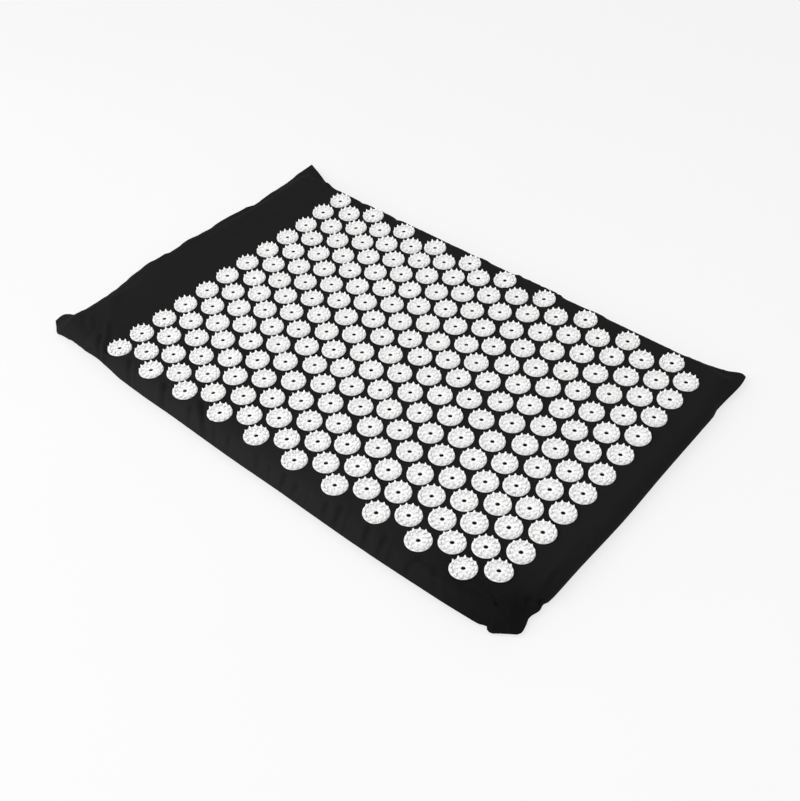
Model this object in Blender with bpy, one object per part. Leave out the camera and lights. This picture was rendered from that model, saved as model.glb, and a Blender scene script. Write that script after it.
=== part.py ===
"""Acupressure mat: a cotton cover with rows of spike discs over a foam pad.

Units are metres. X runs along the mat, towards the end that opens, Y across it,
and Z up. The origin is the centre of the foam pad, on the mat's underside.
"""

import math
from collections import namedtuple

import bmesh
import bpy
from mathutils import Matrix, Vector

# Cloth, and the clearance between pieces that touch
CLOTH = 0.0008
GAP = 0.0003

# Spike discs
DISC_DIAMETER = 0.0264
DISC_BASE = 0.0016
SPIKE_HEIGHT = 0.0036
SPIKE_INSET = 0.0006
RIM_SPIKES = 8
DISH_DEPTH = 0.0012
TURN_STEP = 2.4

# Field of discs: columns across the mat, every second one shifted by half a pitch
COLUMNS = 20
DISCS_IN_COLUMN = 12
COLUMN_SPACING = 0.0054
DIAGONAL_SPACING = 0.0045

# Bare cloth from the outermost discs to the edges of the pad
PLAIN_END_MARGIN = 0.0835
OPEN_END_MARGIN = 0.0225
SIDE_MARGIN = 0.0099
FLAT_PAST_DISCS = 0.0015

# Foam pad
FOAM_THICKNESS = 0.018
FOAM_CORNER = 0.022
CORNER_DROP = 0.002
BOTTOM_ROLL = 0.010
BOTTOM_RISE = 0.005

# Seam round the cover, and the flat ears that stand out at its corners
SEAM_HEIGHT = 0.007
SEAM_LIP = 0.003
LONG_SIDE_BOW = 0.002
SHORT_SIDE_BOW = 0.001
LONG_SIDE_SHARES = (0.25, 0.5, 0.75)
SHORT_SIDE_SHARES = (0.5,)
EAR_REACH = 0.027
EAR_ROOT = 0.070
EAR_BEND_SHARE = 0.6
EAR_CURVE_SHARES = (0.62, 0.92)

# Opening at the right end, closed by a hook tape and a loop tape
TAPE_THICKNESS = 0.0012
TAPE_WIDTH = 0.010
TAPE_HEIGHT = 0.002
TAPE_END_CLEARANCE = 0.003
TAPE_INTO_ROLL = 0.0008
FLAP_ABOVE_TAPE = 0.001
HEM_CLEARANCE = 0.001
OPENING_TURN = 0.006

# Angles, in degrees: between facets that are shaded smooth, and where the rolled edges
# are cut into facets
SMOOTH_ANGLE = 30
TOP_ROLL_ANGLES = (0, 32, 62, 90)
BOTTOM_ROLL_ANGLES = (0, 45, 90)
CORNER_ANGLES = (0, 22.5, 45, 67.5, 90)

# Derived sizes
DISC_RADIUS = DISC_DIAMETER / 2
ROW_PITCH = DISC_DIAMETER + COLUMN_SPACING
COLUMN_PITCH = math.sqrt((DISC_DIAMETER + DIAGONAL_SPACING) ** 2 - (ROW_PITCH / 2) ** 2)
FIELD_LENGTH = (COLUMNS - 1) * COLUMN_PITCH + DISC_DIAMETER
FIELD_WIDTH = (DISCS_IN_COLUMN - 1) * ROW_PITCH + DISC_DIAMETER
FOAM_LENGTH = PLAIN_END_MARGIN + FIELD_LENGTH + OPEN_END_MARGIN
FOAM_WIDTH = FIELD_WIDTH + 2 * SIDE_MARGIN
FIELD_SHIFT = (PLAIN_END_MARGIN - OPEN_END_MARGIN) / 2
WALL = GAP + CLOTH
TOP_HEIGHT = FOAM_THICKNESS + 2 * WALL
TOP_ROLL = SIDE_MARGIN + WALL - FLAT_PAST_DISCS
TOP_DROP = TOP_HEIGHT - TAPE_HEIGHT - TAPE_WIDTH + TAPE_INTO_ROLL
OPENING_STACK = 2 * TAPE_THICKNESS + CLOTH + 3 * GAP
FLAP_HEIGHT = TAPE_HEIGHT + TAPE_WIDTH + FLAP_ABOVE_TAPE

# Each corner, in order round the mat: its signs in X and Y, how far its ear's tip
# stands past the pad's corner in X and Y, how far the ear runs along the long and the
# short side, its tip's height, and the seam lip where it meets the short side
Corner = namedtuple("Corner", "sign_x sign_y reach_shares root_shares height_share lip_share")
CORNERS = (
    Corner(-1, -1, (0.75, -0.28), (0.55, 0.62), 0.45, 1.0),
    Corner(1, -1, (0.08, -0.20), (0.45, 0.62), 0.60, 0.3),
    Corner(1, 1, (0.05, 0.72), (0.85, 0.46), 1.15, 1.0),
    Corner(-1, 1, (0.05, 1.0), (1.0, 0.55), 1.30, 1.0),
)

# Material slots of the top panel
CLOTH_LOOK, DISC_LOOK = 0, 1

# A station is one place round the cover's outline: a point on the pad's edge, the way
# out from it, the place and height of the seam there, the share of the corner drop,
# and whether the seam there is sewn, turns into the opening, or is open
Station = namedtuple("Station", "spot outward seam seam_height drop_share kind")
SEWN, TURNING, OPEN = "sewn", "turning", "open"


def bezier(start, bend, end, share):
    """Point at a share of the way along a quadratic curve."""
    rest = 1 - share
    return start * rest ** 2 + bend * 2 * rest * share + end * share ** 2


def side_station(spot, outward, lip, kind=SEWN):
    seam = spot + outward * (WALL + lip)
    return Station(spot, outward, seam, SEAM_HEIGHT, 0, kind)


def corner_stations(corner, on_long_side_first):
    """Stations round one corner of the pad, with the ear that the cover makes there."""
    sign = Vector((corner.sign_x, corner.sign_y))
    pad_corner = Vector((sign.x * FOAM_LENGTH, sign.y * FOAM_WIDTH)) / 2
    long_root = pad_corner - Vector((sign.x * EAR_ROOT * corner.root_shares[0], 0))
    short_root = pad_corner - Vector((0, sign.y * EAR_ROOT * corner.root_shares[1]))
    long_side = side_station(long_root, Vector((0, sign.y)), SEAM_LIP)
    short_side = side_station(short_root, Vector((sign.x, 0)), SEAM_LIP * corner.lip_share)
    past_wall = [WALL + EAR_REACH * share for share in corner.reach_shares]
    tip = pad_corner + Vector((sign.x * past_wall[0], sign.y * past_wall[1]))

    first, last = (long_side, short_side) if on_long_side_first else (short_side, long_side)
    flares = []
    for root in (first, last):
        along = root.outward.orthogonal()
        along *= math.copysign(1, along.dot(tip - root.seam))
        bend = root.seam + along * along.dot(tip - root.seam) * EAR_BEND_SHARE
        flares.append([bezier(root.seam, bend, tip, share) for share in EAR_CURVE_SHARES])
    tip = (flares[0][1] + flares[1][1] + tip) / 3
    seams = [flares[0][0], flares[0][1], tip, flares[1][1], flares[1][0]]

    centre = pad_corner - sign * FOAM_CORNER
    first_angle = math.atan2(first.outward.y, first.outward.x)
    stations = [first]
    for degrees, seam in zip(CORNER_ANGLES, seams):
        angle = first_angle + math.radians(degrees)
        outward = Vector((math.cos(angle), math.sin(angle)))
        nearness = math.sin(math.radians(2 * degrees)) / 2 + 1 / 2
        height = SEAM_HEIGHT * (1 + (corner.height_share - 1) * nearness)
        stations.append(Station(centre + outward * FOAM_CORNER, outward, seam, height, nearness, SEWN))
    return stations + [last]


def bowed_side(start, end, shares, bow):
    """Sewn stations along a side, between the roots of its two ears."""
    stations = []
    for share in shares:
        spot = start.spot.lerp(end.spot, share)
        bulge = bow * (1 - (2 * share - 1) ** 2)
        stations.append(side_station(spot, start.outward, SEAM_LIP + bulge))
    return stations


def opening_side(start, end):
    """Stations along the end that opens: the seam turns into the opening and back."""
    along = (end.spot - start.spot).normalized()
    stations = []
    for station, step in ((start, along), (end, -along)):
        lip = (station.seam - station.spot).length - WALL
        turn = side_station(station.spot + step * OPENING_TURN, start.outward, lip, TURNING)
        corner = side_station(station.spot + step * OPENING_TURN * 2, start.outward, 0, OPEN)
        stations.append([turn, corner])
    front, rear = stations
    middle = side_station(front[1].spot.lerp(rear[1].spot, 1 / 2), start.outward, 0, OPEN)
    return front + [middle] + rear[::-1]


def outline():
    """All the stations, counterclockwise from the left end of the front side."""
    corners = []
    for number, corner in enumerate(CORNERS):
        corners.append(corner_stations(corner, on_long_side_first=number % 2 == 1))
    front_left, front_right, rear_right, rear_left = corners
    stations = front_left + bowed_side(front_left[-1], front_right[0], LONG_SIDE_SHARES, LONG_SIDE_BOW)
    stations += front_right + opening_side(front_right[-1], rear_right[0])
    stations += rear_right + bowed_side(rear_right[-1], rear_left[0], LONG_SIDE_SHARES, LONG_SIDE_BOW)
    stations += rear_left + bowed_side(rear_left[-1], front_left[0], SHORT_SIDE_SHARES, SHORT_SIDE_BOW)
    return stations


def ring(stations, offset, height):
    """A closed row of points, each at its station's own offset and height."""
    points = []
    for station in stations:
        plan = station.spot + station.outward * offset(station)
        points.append(Vector((plan.x, plan.y, height(station))))
    return points


def top_roll(stations, depth, stack):
    """Rings over the rolled top edge, a depth below the cloth's outer face."""
    rings = []
    for degrees in TOP_ROLL_ANGLES:
        turn = math.radians(degrees)
        inward = depth * math.sin(turn) + TOP_ROLL * (1 - math.sin(turn))
        low = depth * math.cos(turn)
        fall = 1 - math.cos(turn)
        rings.append(ring(
            stations,
            lambda at: WALL + (stack if at.kind == OPEN else 0) - inward,
            lambda at: TOP_HEIGHT - low - (TOP_DROP + CORNER_DROP * at.drop_share) * fall,
        ))
    return rings


def bottom_roll(stations, depth):
    """Rings under the rolled bottom edge, a depth above the cloth's outer face."""
    rings = []
    for degrees in BOTTOM_ROLL_ANGLES:
        turn = math.radians(degrees)
        inward = depth * math.sin(turn) + BOTTOM_ROLL * (1 - math.sin(turn))
        height = depth * math.cos(turn) + BOTTOM_RISE * (1 - math.cos(turn))
        rings.append(ring(stations, lambda at: WALL - inward, lambda at: height))
    return rings


def top_rim(stations, depth):
    """The top panel's edge: sewn seam, or hem over the opening."""
    points = []
    for at in stations:
        if at.kind == OPEN:
            plan = at.spot + at.outward * (WALL + OPENING_STACK - depth)
            points.append(Vector((plan.x, plan.y, HEM_CLEARANCE)))
        else:
            points.append(Vector((at.seam.x, at.seam.y, at.seam_height + GAP / 2 + CLOTH - depth)))
    return points


def bottom_rim(stations, depth):
    """The bottom panel's edge: sewn seam, or flap that stands up behind the tapes."""
    points = []
    for at in stations:
        if at.kind == SEWN:
            plan, height = at.seam, at.seam_height - GAP / 2 - CLOTH + depth
        else:
            plan = at.spot + at.outward * (WALL - depth)
            height = FLAP_HEIGHT if at.kind == OPEN else SEAM_HEIGHT - GAP / 2 - CLOTH
        points.append(Vector((plan.x, plan.y, height)))
    return points


def loft(bm, rings):
    """Join rings of as many points with bands of quads; gives the first and last rows."""
    rows = [[bm.verts.new(point) for point in points] for points in rings]
    for row, following in zip(rows, rows[1:]):
        for number in range(len(row)):
            before = number - 1
            bm.faces.new((row[before], row[number], following[number], following[before]))
    return rows[0], rows[-1]


def row_edges(bm, row):
    return [bm.edges.get((row[number - 1], row[number])) for number in range(len(row))]


def disc_mesh():
    """One spike disc, open below: spikes round its rim, ridges that run in to a dish."""
    bm = bmesh.new()
    top = Matrix.Translation((0, 0, DISC_BASE))
    foot = bmesh.ops.create_circle(bm, segments=RIM_SPIKES, radius=DISC_RADIUS)["verts"]
    rim = bmesh.ops.create_circle(
        bm, segments=2 * RIM_SPIKES, radius=DISC_RADIUS, matrix=top, cap_ends=True)["verts"]
    for number in range(RIM_SPIKES):
        left, right = foot[number - 1], foot[number]
        left_valley, spike, right_valley = rim[2 * number - 2], rim[2 * number - 1], rim[2 * number]
        bm.faces.new((left, right, spike))
        bm.faces.new((left, spike, left_valley))
        bm.faces.new((right, right_valley, spike))
        spike.co *= 1 - SPIKE_INSET / DISC_RADIUS
        spike.co.z = DISC_BASE + SPIKE_HEIGHT
    cap = [face for face in bm.faces if len(face.verts) == len(rim)]
    dish = bmesh.ops.poke(bm, faces=cap)["verts"][0]
    dish.co.z = DISC_BASE - DISH_DEPTH
    for face in bm.faces:
        face.material_index = DISC_LOOK
    mesh = bpy.data.meshes.new("spike_disc")
    bm.to_mesh(mesh)
    bm.free()
    return mesh


def disc_places():
    """Centre and turn of each disc, column by column."""
    places = []
    for column in range(COLUMNS):
        shifted = column % 2
        discs = DISCS_IN_COLUMN - shifted
        x = FIELD_SHIFT + (column - (COLUMNS - 1) / 2) * COLUMN_PITCH
        for row in range(discs):
            y = (row - (discs - 1) / 2) * ROW_PITCH
            places.append((x, y, TURN_STEP * len(places)))
    return places


def add_discs(bm):
    """Set the discs on the top face; gives the edges where they meet the cloth."""
    disc = disc_mesh()
    feet = []
    for x, y, turn in disc_places():
        first = len(bm.verts)
        bm.from_mesh(disc)
        bm.verts.ensure_lookup_table()
        place = Matrix.Translation((x, y, TOP_HEIGHT)) @ Matrix.Rotation(turn, 4, "Z")
        for vert in bm.verts[first:]:
            vert.co = place @ vert.co
        feet += row_edges(bm, bm.verts[first:first + RIM_SPIKES])
    bpy.data.meshes.remove(disc)
    return feet


def material(name, colour, roughness):
    made = bpy.data.materials.new(name)
    made.use_nodes = True
    shader = made.node_tree.nodes["Principled BSDF"]
    shader.inputs["Base Color"].default_value = (*colour, 1)
    shader.inputs["Roughness"].default_value = roughness
    return made


def add_object(name, bm, looks, collection):
    """Turn a finished bmesh into a named object, smooth but for its sharp edges."""
    bmesh.ops.recalc_face_normals(bm, faces=bm.faces)
    mesh = bpy.data.meshes.new(name)
    bm.to_mesh(mesh)
    bm.free()
    mesh.shade_smooth()
    mesh.set_sharp_from_angle(angle=math.radians(SMOOTH_ANGLE))
    for look in looks:
        mesh.materials.append(look)
    made = bpy.data.objects.new(name, mesh)
    collection.objects.link(made)
    return made


def make_top_panel(stations, collection):
    """Upper cloth with its discs: rolled over the pad's edge down to the seam."""
    bm = bmesh.new()
    outer = top_roll(stations, 0, OPENING_STACK) + [top_rim(stations, 0)]
    inner = top_roll(stations, CLOTH, OPENING_STACK) + [top_rim(stations, CLOTH)]
    top, under = loft(bm, outer + inner[::-1])
    bm.faces.new(under)
    edges = row_edges(bm, top) + add_discs(bm)
    bmesh.ops.triangle_fill(bm, use_beauty=True, edges=edges)
    looks = [None, None]
    looks[CLOTH_LOOK] = material("black_cotton", (0.017, 0.017, 0.017), 0.9)
    looks[DISC_LOOK] = material("white_plastic", (0.80, 0.80, 0.79), 0.4)
    return add_object("top_panel", bm, looks, collection)


def make_bottom_panel(stations, collection):
    """Lower cloth: flat on the ground, up to the seam, and a flap behind the tapes."""
    bm = bmesh.new()
    outer = bottom_roll(stations, 0) + [bottom_rim(stations, 0)]
    inner = bottom_roll(stations, CLOTH) + [bottom_rim(stations, CLOTH)]
    under, top = loft(bm, outer + inner[::-1])
    bm.faces.new(under)
    bm.faces.new(top)
    look = material("black_cotton_underside", (0.017, 0.017, 0.017), 0.9)
    return add_object("bottom_panel", bm, [look], collection)


def make_foam_pad(stations, collection):
    bm = bmesh.new()
    depth = CLOTH + GAP
    rings = bottom_roll(stations, depth) + top_roll(stations, depth, 0)[::-1]
    under, top = loft(bm, rings)
    bm.faces.new(under)
    bm.faces.new(top)
    look = material("pale_foam", (0.72, 0.74, 0.76), 0.95)
    return add_object("foam_pad", bm, [look], collection)


def make_tape(name, stations, layer, look, collection):
    """A strip of tape that stands in the opening, so many layers out from the flap."""
    ends = [at.spot.y for at in stations if at.kind == OPEN]
    length = max(ends) - min(ends) - 2 * TAPE_END_CLEARANCE
    inner_face = FOAM_LENGTH / 2 + WALL + GAP + layer * (TAPE_THICKNESS + GAP)
    bm = bmesh.new()
    bmesh.ops.create_cube(bm, size=1)
    bmesh.ops.scale(bm, vec=(TAPE_THICKNESS, length, TAPE_WIDTH), verts=bm.verts)
    made = add_object(name, bm, [look], collection)
    made.location = (
        inner_face + TAPE_THICKNESS / 2,
        (max(ends) + min(ends)) / 2,
        TAPE_HEIGHT + TAPE_WIDTH / 2,
    )
    return made


def main():
    for old in list(bpy.data.objects):
        bpy.data.objects.remove(old, do_unlink=True)
    collection = bpy.data.collections.new("acupressure_mat")
    bpy.context.scene.collection.children.link(collection)
    stations = outline()
    make_top_panel(stations, collection)
    make_bottom_panel(stations, collection)
    make_foam_pad(stations, collection)
    hooks = material("black_nylon_hooks", (0.012, 0.012, 0.012), 0.5)
    loops = material("black_nylon_loops", (0.015, 0.015, 0.015), 0.95)
    make_tape("hook_tape", stations, 0, hooks, collection)
    make_tape("loop_tape", stations, 1, loops, collection)


main()
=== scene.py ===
import math
import random

import bmesh
import bpy
import numpy as np
from collections import namedtuple
from mathutils import Euler, Matrix, Vector, noise


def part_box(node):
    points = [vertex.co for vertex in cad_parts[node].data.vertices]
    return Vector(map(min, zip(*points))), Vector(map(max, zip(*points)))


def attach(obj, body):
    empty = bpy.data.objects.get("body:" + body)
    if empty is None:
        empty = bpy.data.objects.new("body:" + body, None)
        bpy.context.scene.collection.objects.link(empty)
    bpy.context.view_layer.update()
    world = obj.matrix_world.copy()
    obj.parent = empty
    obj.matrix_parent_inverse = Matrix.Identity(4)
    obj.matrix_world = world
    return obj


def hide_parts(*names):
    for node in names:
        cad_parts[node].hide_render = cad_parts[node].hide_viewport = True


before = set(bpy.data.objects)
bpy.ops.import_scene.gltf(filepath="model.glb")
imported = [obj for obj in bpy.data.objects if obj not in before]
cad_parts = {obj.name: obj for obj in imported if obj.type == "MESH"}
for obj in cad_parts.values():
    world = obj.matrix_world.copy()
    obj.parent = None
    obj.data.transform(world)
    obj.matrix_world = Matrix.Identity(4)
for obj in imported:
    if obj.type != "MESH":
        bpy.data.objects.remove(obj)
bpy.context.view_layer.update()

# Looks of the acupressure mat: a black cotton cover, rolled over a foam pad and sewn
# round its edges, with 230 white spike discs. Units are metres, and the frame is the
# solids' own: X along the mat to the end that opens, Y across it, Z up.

# Places taken from the solids
WALL = 0.0011
CLOTH = 0.0008
FOAM_LOW, FOAM_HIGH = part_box("foam_pad")
HOOK_LOW, HOOK_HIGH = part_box("hook_tape")
LOOP_LOW, LOOP_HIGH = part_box("loop_tape")
HALF_LENGTH = FOAM_HIGH.x + WALL
HALF_WIDTH = FOAM_HIGH.y + WALL
TOP = FOAM_HIGH.z + WALL

# Camera, at the photograph's angle
CAMERA_PLACE = Vector((0.5964, -0.6279, 0.8015))
CAMERA_AIM = Vector((0.0701, -0.0471, 0.0218))
CAMERA_ROLL = math.radians(-2.387)
CAMERA_LENS = 48.56
CAMERA_SENSOR = 36.0
CAMERA_CLIP = 0.05

# Field of discs
COLUMNS = 20
DISCS_IN_COLUMN = 12
COLUMN_PITCH = 0.0265
ROW_PITCH = 0.0318
FIELD_SHIFT = 0.0305
DISC_TILT = math.radians(1.3)
DISC_WANDER = 0.0004
DISC_SEED = 11
DISC_SINK = 0.0001
SHARP_EDGE = math.radians(50)

# Where the cloth has been pulled askew: centre, reach and shift of the discs there
PULLS = (
    ((0.25, -0.17), 0.085, (-0.005, 0.0035)),
    ((0.05, 0.175), 0.11, (-0.007, 0.0035)),
    ((-0.17, 0.165), 0.06, (0.002, 0.0045)),
    ((0.245, 0.01), 0.095, (0.0025, -0.002)),
    ((-0.17, -0.165), 0.07, (0.0015, -0.003)),
    ((0.1, -0.17), 0.08, (-0.001, 0.0025)),
    ((0.045, 0.095), 0.065, (0.002, -0.002)),
    ((-0.221, 0.09), 0.07, (0.0014, 0.0014)),
    ((-0.11, -0.065), 0.055, (-0.0015, 0.0003)),
    ((-0.221, -0.065), 0.045, (0.0009, -0.0014)),
    ((0.0, -0.085), 0.055, (-0.0004, 0.0012)),
    ((0.2, -0.105), 0.04, (0.0018, 0.0001)),
    ((0.285, -0.162), 0.028, (-0.0022, 0.0026)),
)

# How far the discs lean across the mat, from the front rows to the rear, and at places
# where the cloth is hitched up: centre, reach and lean along and across
LEAN_ACROSS = (
    (-0.175, math.radians(1.0)), (-0.06, 0.0), (0.04, 0.0), (0.18, math.radians(-4.0)))
HITCHES = (
    ((0.268, -0.166), 0.026, (math.radians(-4.0), math.radians(9.0))),
)

# One disc: plate, hole and rings of spikes
DISC_SEGMENTS = 60
PLATE_TOP = 0.0016
PLATE_PROFILE = (
    (0.00232, 0.0), (0.00232, 0.00125), (0.00255, 0.00158), (0.0031, 0.00172),
    (0.0043, 0.00172), (0.0056, 0.00166), (0.0064, 0.00152), (0.0076, 0.00168),
    (0.0088, 0.00166), (0.0099, 0.00148), (0.011, 0.0016), (0.0122, 0.0017),
    (0.01275, 0.00158), (0.01302, 0.00125), (0.0131, 0.0008), (0.01308, 0.0003),
    (0.0129, 0.0),
)

# Rings of spikes: count, radius of the tips, turn, width, depth, how far the foot is
# drawn in from the tip, so that the outer ring stands flush with the plate, and height
Ring = namedtuple("Ring", "count radius turn width depth draw_in height")
SPIKE_RINGS = (
    Ring(6, 0.0055, 0.3, 0.0011, 0.001, 0.0002, 0.0022),
    Ring(9, 0.0087, 0.0, 0.0014, 0.0012, 0.0003, 0.003),
    Ring(12, 0.0121, 0.1, 0.0023, 0.0016, 0.0011, 0.0037),
)
SPIKE_SIDES = 10
SPIKE_SINK = 0.0004
SPIKE_SHARES = (
    (1.0, 0.0), (0.82, 0.15), (0.63, 0.36), (0.45, 0.58), (0.29, 0.79), (0.16, 0.94))

# Cover: from the edge of its flat top or underside to the wall, the cells of its mesh, fine
# in the margins and coarse between them, its rows on the roll, and its hold at the seam
ROLL = 0.0095
BOTTOM_ROLL = 0.012
FINE_CELL = 0.0016
COARSE_CELL = 0.0075
MARGIN = 0.034
BAND_ROWS = 13
SEAM_HOLD = 5
SEAM_HALF_GAP = 0.00045
TUCK = 0.006
HEM_TOP = 0.005
HEM_FADE = 0.002
LEAST_EAR = 0.014

# Shape of the roll between the flat middle and the seam: where its curve's two handles lie
HANDLE_REACH = 0.62
HANDLE_EAR = 0.3
HEM_PUSH = 0.0053
BELLY = 0.0022
HEM_BELLY = 0.0028
BELLY_EAR = 0.45
BELLY_HEIGHT = 0.36
HEM_HEIGHT = 0.14
UNDER_REACH = 0.7
UNDER_TUCKED = 0.6
UNDER_EAR = 0.6
UNDER_HEIGHT = 0.4
UNDER_STRAIGHT = 0.7
HANDLE_ALONG = (0.25, 0.7)

# Steps of a smooth curve between two of its points
CURVE_STEPS = 40

# Tips of the cover's corners, and each side's seam between them: place along the side,
# how far it stands past the wall, and its height
TIPS = {
    "front_left": Vector((-0.3345, -0.183, 0.0033)),
    "front_right": Vector((0.3205, -0.187, 0.004)),
    "rear_right": Vector((0.3212, 0.2176, 0.008)),
    "rear_left": Vector((-0.3209, 0.2284, 0.009)),
}
FRONT_SEAM = (
    (-0.3255, -0.0105, 0.0033), (-0.316, -0.0045, 0.0033), (-0.307, -0.0056, 0.0034),
    (-0.29, -0.007, 0.0038), (-0.265, -0.0056, 0.0042), (-0.244, -0.0054, 0.005),
    (-0.22, -0.0025, 0.006), (-0.197, 0.0002, 0.0068), (-0.155, 0.002, 0.007),
    (-0.117, 0.0022, 0.007), (-0.078, 0.0032, 0.007), (-0.023, 0.0045, 0.007),
    (0.045, 0.0047, 0.007), (0.094, 0.0055, 0.007), (0.141, 0.006, 0.007),
    (0.185, 0.0057, 0.007), (0.227, 0.0043, 0.0062), (0.253, 0.0033, 0.0057),
    (0.279, 0.0014, 0.005), (0.289, 0.0002, 0.0046), (0.2935, -0.0018, 0.004),
    (0.2957, -0.0026, 0.0036), (0.2975, -0.0004, 0.0034), (0.3025, 0.0004, 0.0034),
    (0.3095, -0.0046, 0.0036),
)
REAR_SEAM = (
    (-0.309, 0.0245, 0.009), (-0.294, 0.0184, 0.0085), (-0.278, 0.0112, 0.008),
    (-0.265, 0.0088, 0.0078), (-0.25, 0.0064, 0.0075), (-0.2, 0.0025, 0.007),
    (-0.1, 0.0035, 0.007), (0.0, 0.004, 0.007), (0.1, 0.004, 0.007),
    (0.2, 0.004, 0.007), (0.25, 0.0055, 0.0072), (0.268, 0.0088, 0.0074),
    (0.285, 0.0112, 0.0076), (0.301, 0.0145, 0.0078), (0.3146, 0.0203, 0.008),
)
LEFT_SEAM = (
    (-0.176, 0.0172, 0.0034), (-0.17, 0.017, 0.0034), (-0.1655, 0.0127, 0.0034),
    (-0.161, 0.0045, 0.0034), (-0.15, 0.0032, 0.0035), (-0.134, 0.0032, 0.0036),
    (-0.1, 0.0036, 0.0052), (-0.066, 0.005, 0.0068), (-0.044, 0.0062, 0.007),
    (-0.02, 0.0032, 0.0062), (0.008, 0.0038, 0.0064), (0.04, 0.003, 0.0058),
    (0.06, 0.0034, 0.006), (0.09, 0.002, 0.005), (0.123, 0.0005, 0.004),
    (0.143, 0.0022, 0.0042), (0.182, 0.0024, 0.0046), (0.205, 0.0036, 0.006),
    (0.2165, 0.0024, 0.008),
)
RIGHT_HEM = (
    (-0.182, 0.0035, 0.0035), (-0.1735, 0.002, 0.004), (-0.167, 0.0, 0.0045),
    (-0.156, 0.003, 0.0045), (-0.148, 0.0016, 0.0036), (-0.1405, 0.0035, 0.0025),
    (-0.125, 0.0038, 0.0022), (-0.09, 0.004, 0.0022), (-0.024, 0.0053, 0.0022),
    (0.05, 0.004, 0.0022), (0.125, 0.0034, 0.0022), (0.15, 0.0032, 0.0024),
    (0.158, 0.002, 0.004), (0.17, 0.0027, 0.006), (0.1945, 0.0042, 0.007),
    (0.21, 0.0037, 0.0075),
)
RIGHT_FLAP = (
    *RIGHT_HEM[:3],
    (-0.156, 0.001, 0.006), (-0.148, 0.0002, 0.01), (-0.14, 0.0, 0.0128),
    (-0.125, 0.0, 0.013), (-0.09, 0.0, 0.013), (-0.024, 0.0, 0.013),
    (0.05, 0.0, 0.013), (0.125, 0.0, 0.013), (0.15, 0.0002, 0.012),
    (0.17, 0.0015, 0.008), (0.1945, 0.004, 0.0072), (0.21, 0.0037, 0.0075),
)

# Sags, where cover and pad lie flatter: along the sewn end, the share of the height lost
# at each place, and at the near corner a share that fades out from near to far
SAG_FLOOR = 0.0035
SAG_STEPS = 8
LEFT_SAG_REACH = 0.026
LEFT_SAG = (
    (-0.175, 0.0), (-0.168, 0.04), (-0.155, 0.54), (-0.135, 0.62), (-0.113, 0.7),
    (-0.083, 0.23), (-0.055, -0.05), (-0.034, 0.02), (-0.018, 0.32), (0.004, 0.02),
    (0.016, 0.22), (0.04, 0.415), (0.06, 0.25), (0.09, 0.44), (0.107, 0.66), (0.123, 1.0),
    (0.145, 0.77), (0.182, 0.68), (0.203, 0.2), (0.22, 0.0),
)
CornerSag = namedtuple("CornerSag", "x y near far share")
CORNER_SAG = CornerSag(-0.319, -0.199, 0.048, 0.07, 0.45)

# The pad's front edge gives way where the cover's seam lies inside this room, and the pad
# is pressed in under the cover's furrows, as far as its core
PAD_ROOM = 0.0012
SQUEEZE_START = 0.15
PAD_CORE = 0.012
DENT_SHARE = 1.6
DENT_WIDTH = 1.25
PAD_SAG = 1.1

# Strength of the folds before the simulation, their sharper middles after it, and the
# unevenness that starts the buckling and that wrinkles the settled cloth
FOLD_DEPTH = 1.35
CREASE_DEPTH = 0.55
CREASE_WIDTH = 0.6
GRAIN_DEPTH, GRAIN_SCALE = 0.0002, 120.0
WRINKLE_DEPTH, WRINKLE_SCALE = 0.00012, 260.0

# The pad: its corners in plan, rounded edges, rings of points and slight unevenness
PAD_CORNER = 0.022
PAD_CORNER_STEPS = 10
PAD_DRAWN_IN = 0.012
PAD_STEP = 0.0022
PAD_ROUND = 0.0098
PAD_RIM = 0.055
PAD_RIM_STEP = 0.0022
PAD_RINGS = 8
PAD_EDGE_STEPS = 9
PAD_GRAIN = 60
PAD_ROUGHNESS = 0.0002

# The tapes: rounding and unevenness of their edges
TAPE_ROUND = 0.0004
TAPE_ROUND_STEPS = 3
TAPE_CUTS = 120
TAPE_WAVE = 0.00008
TAPE_WAVE_SCALE = 350

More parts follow.
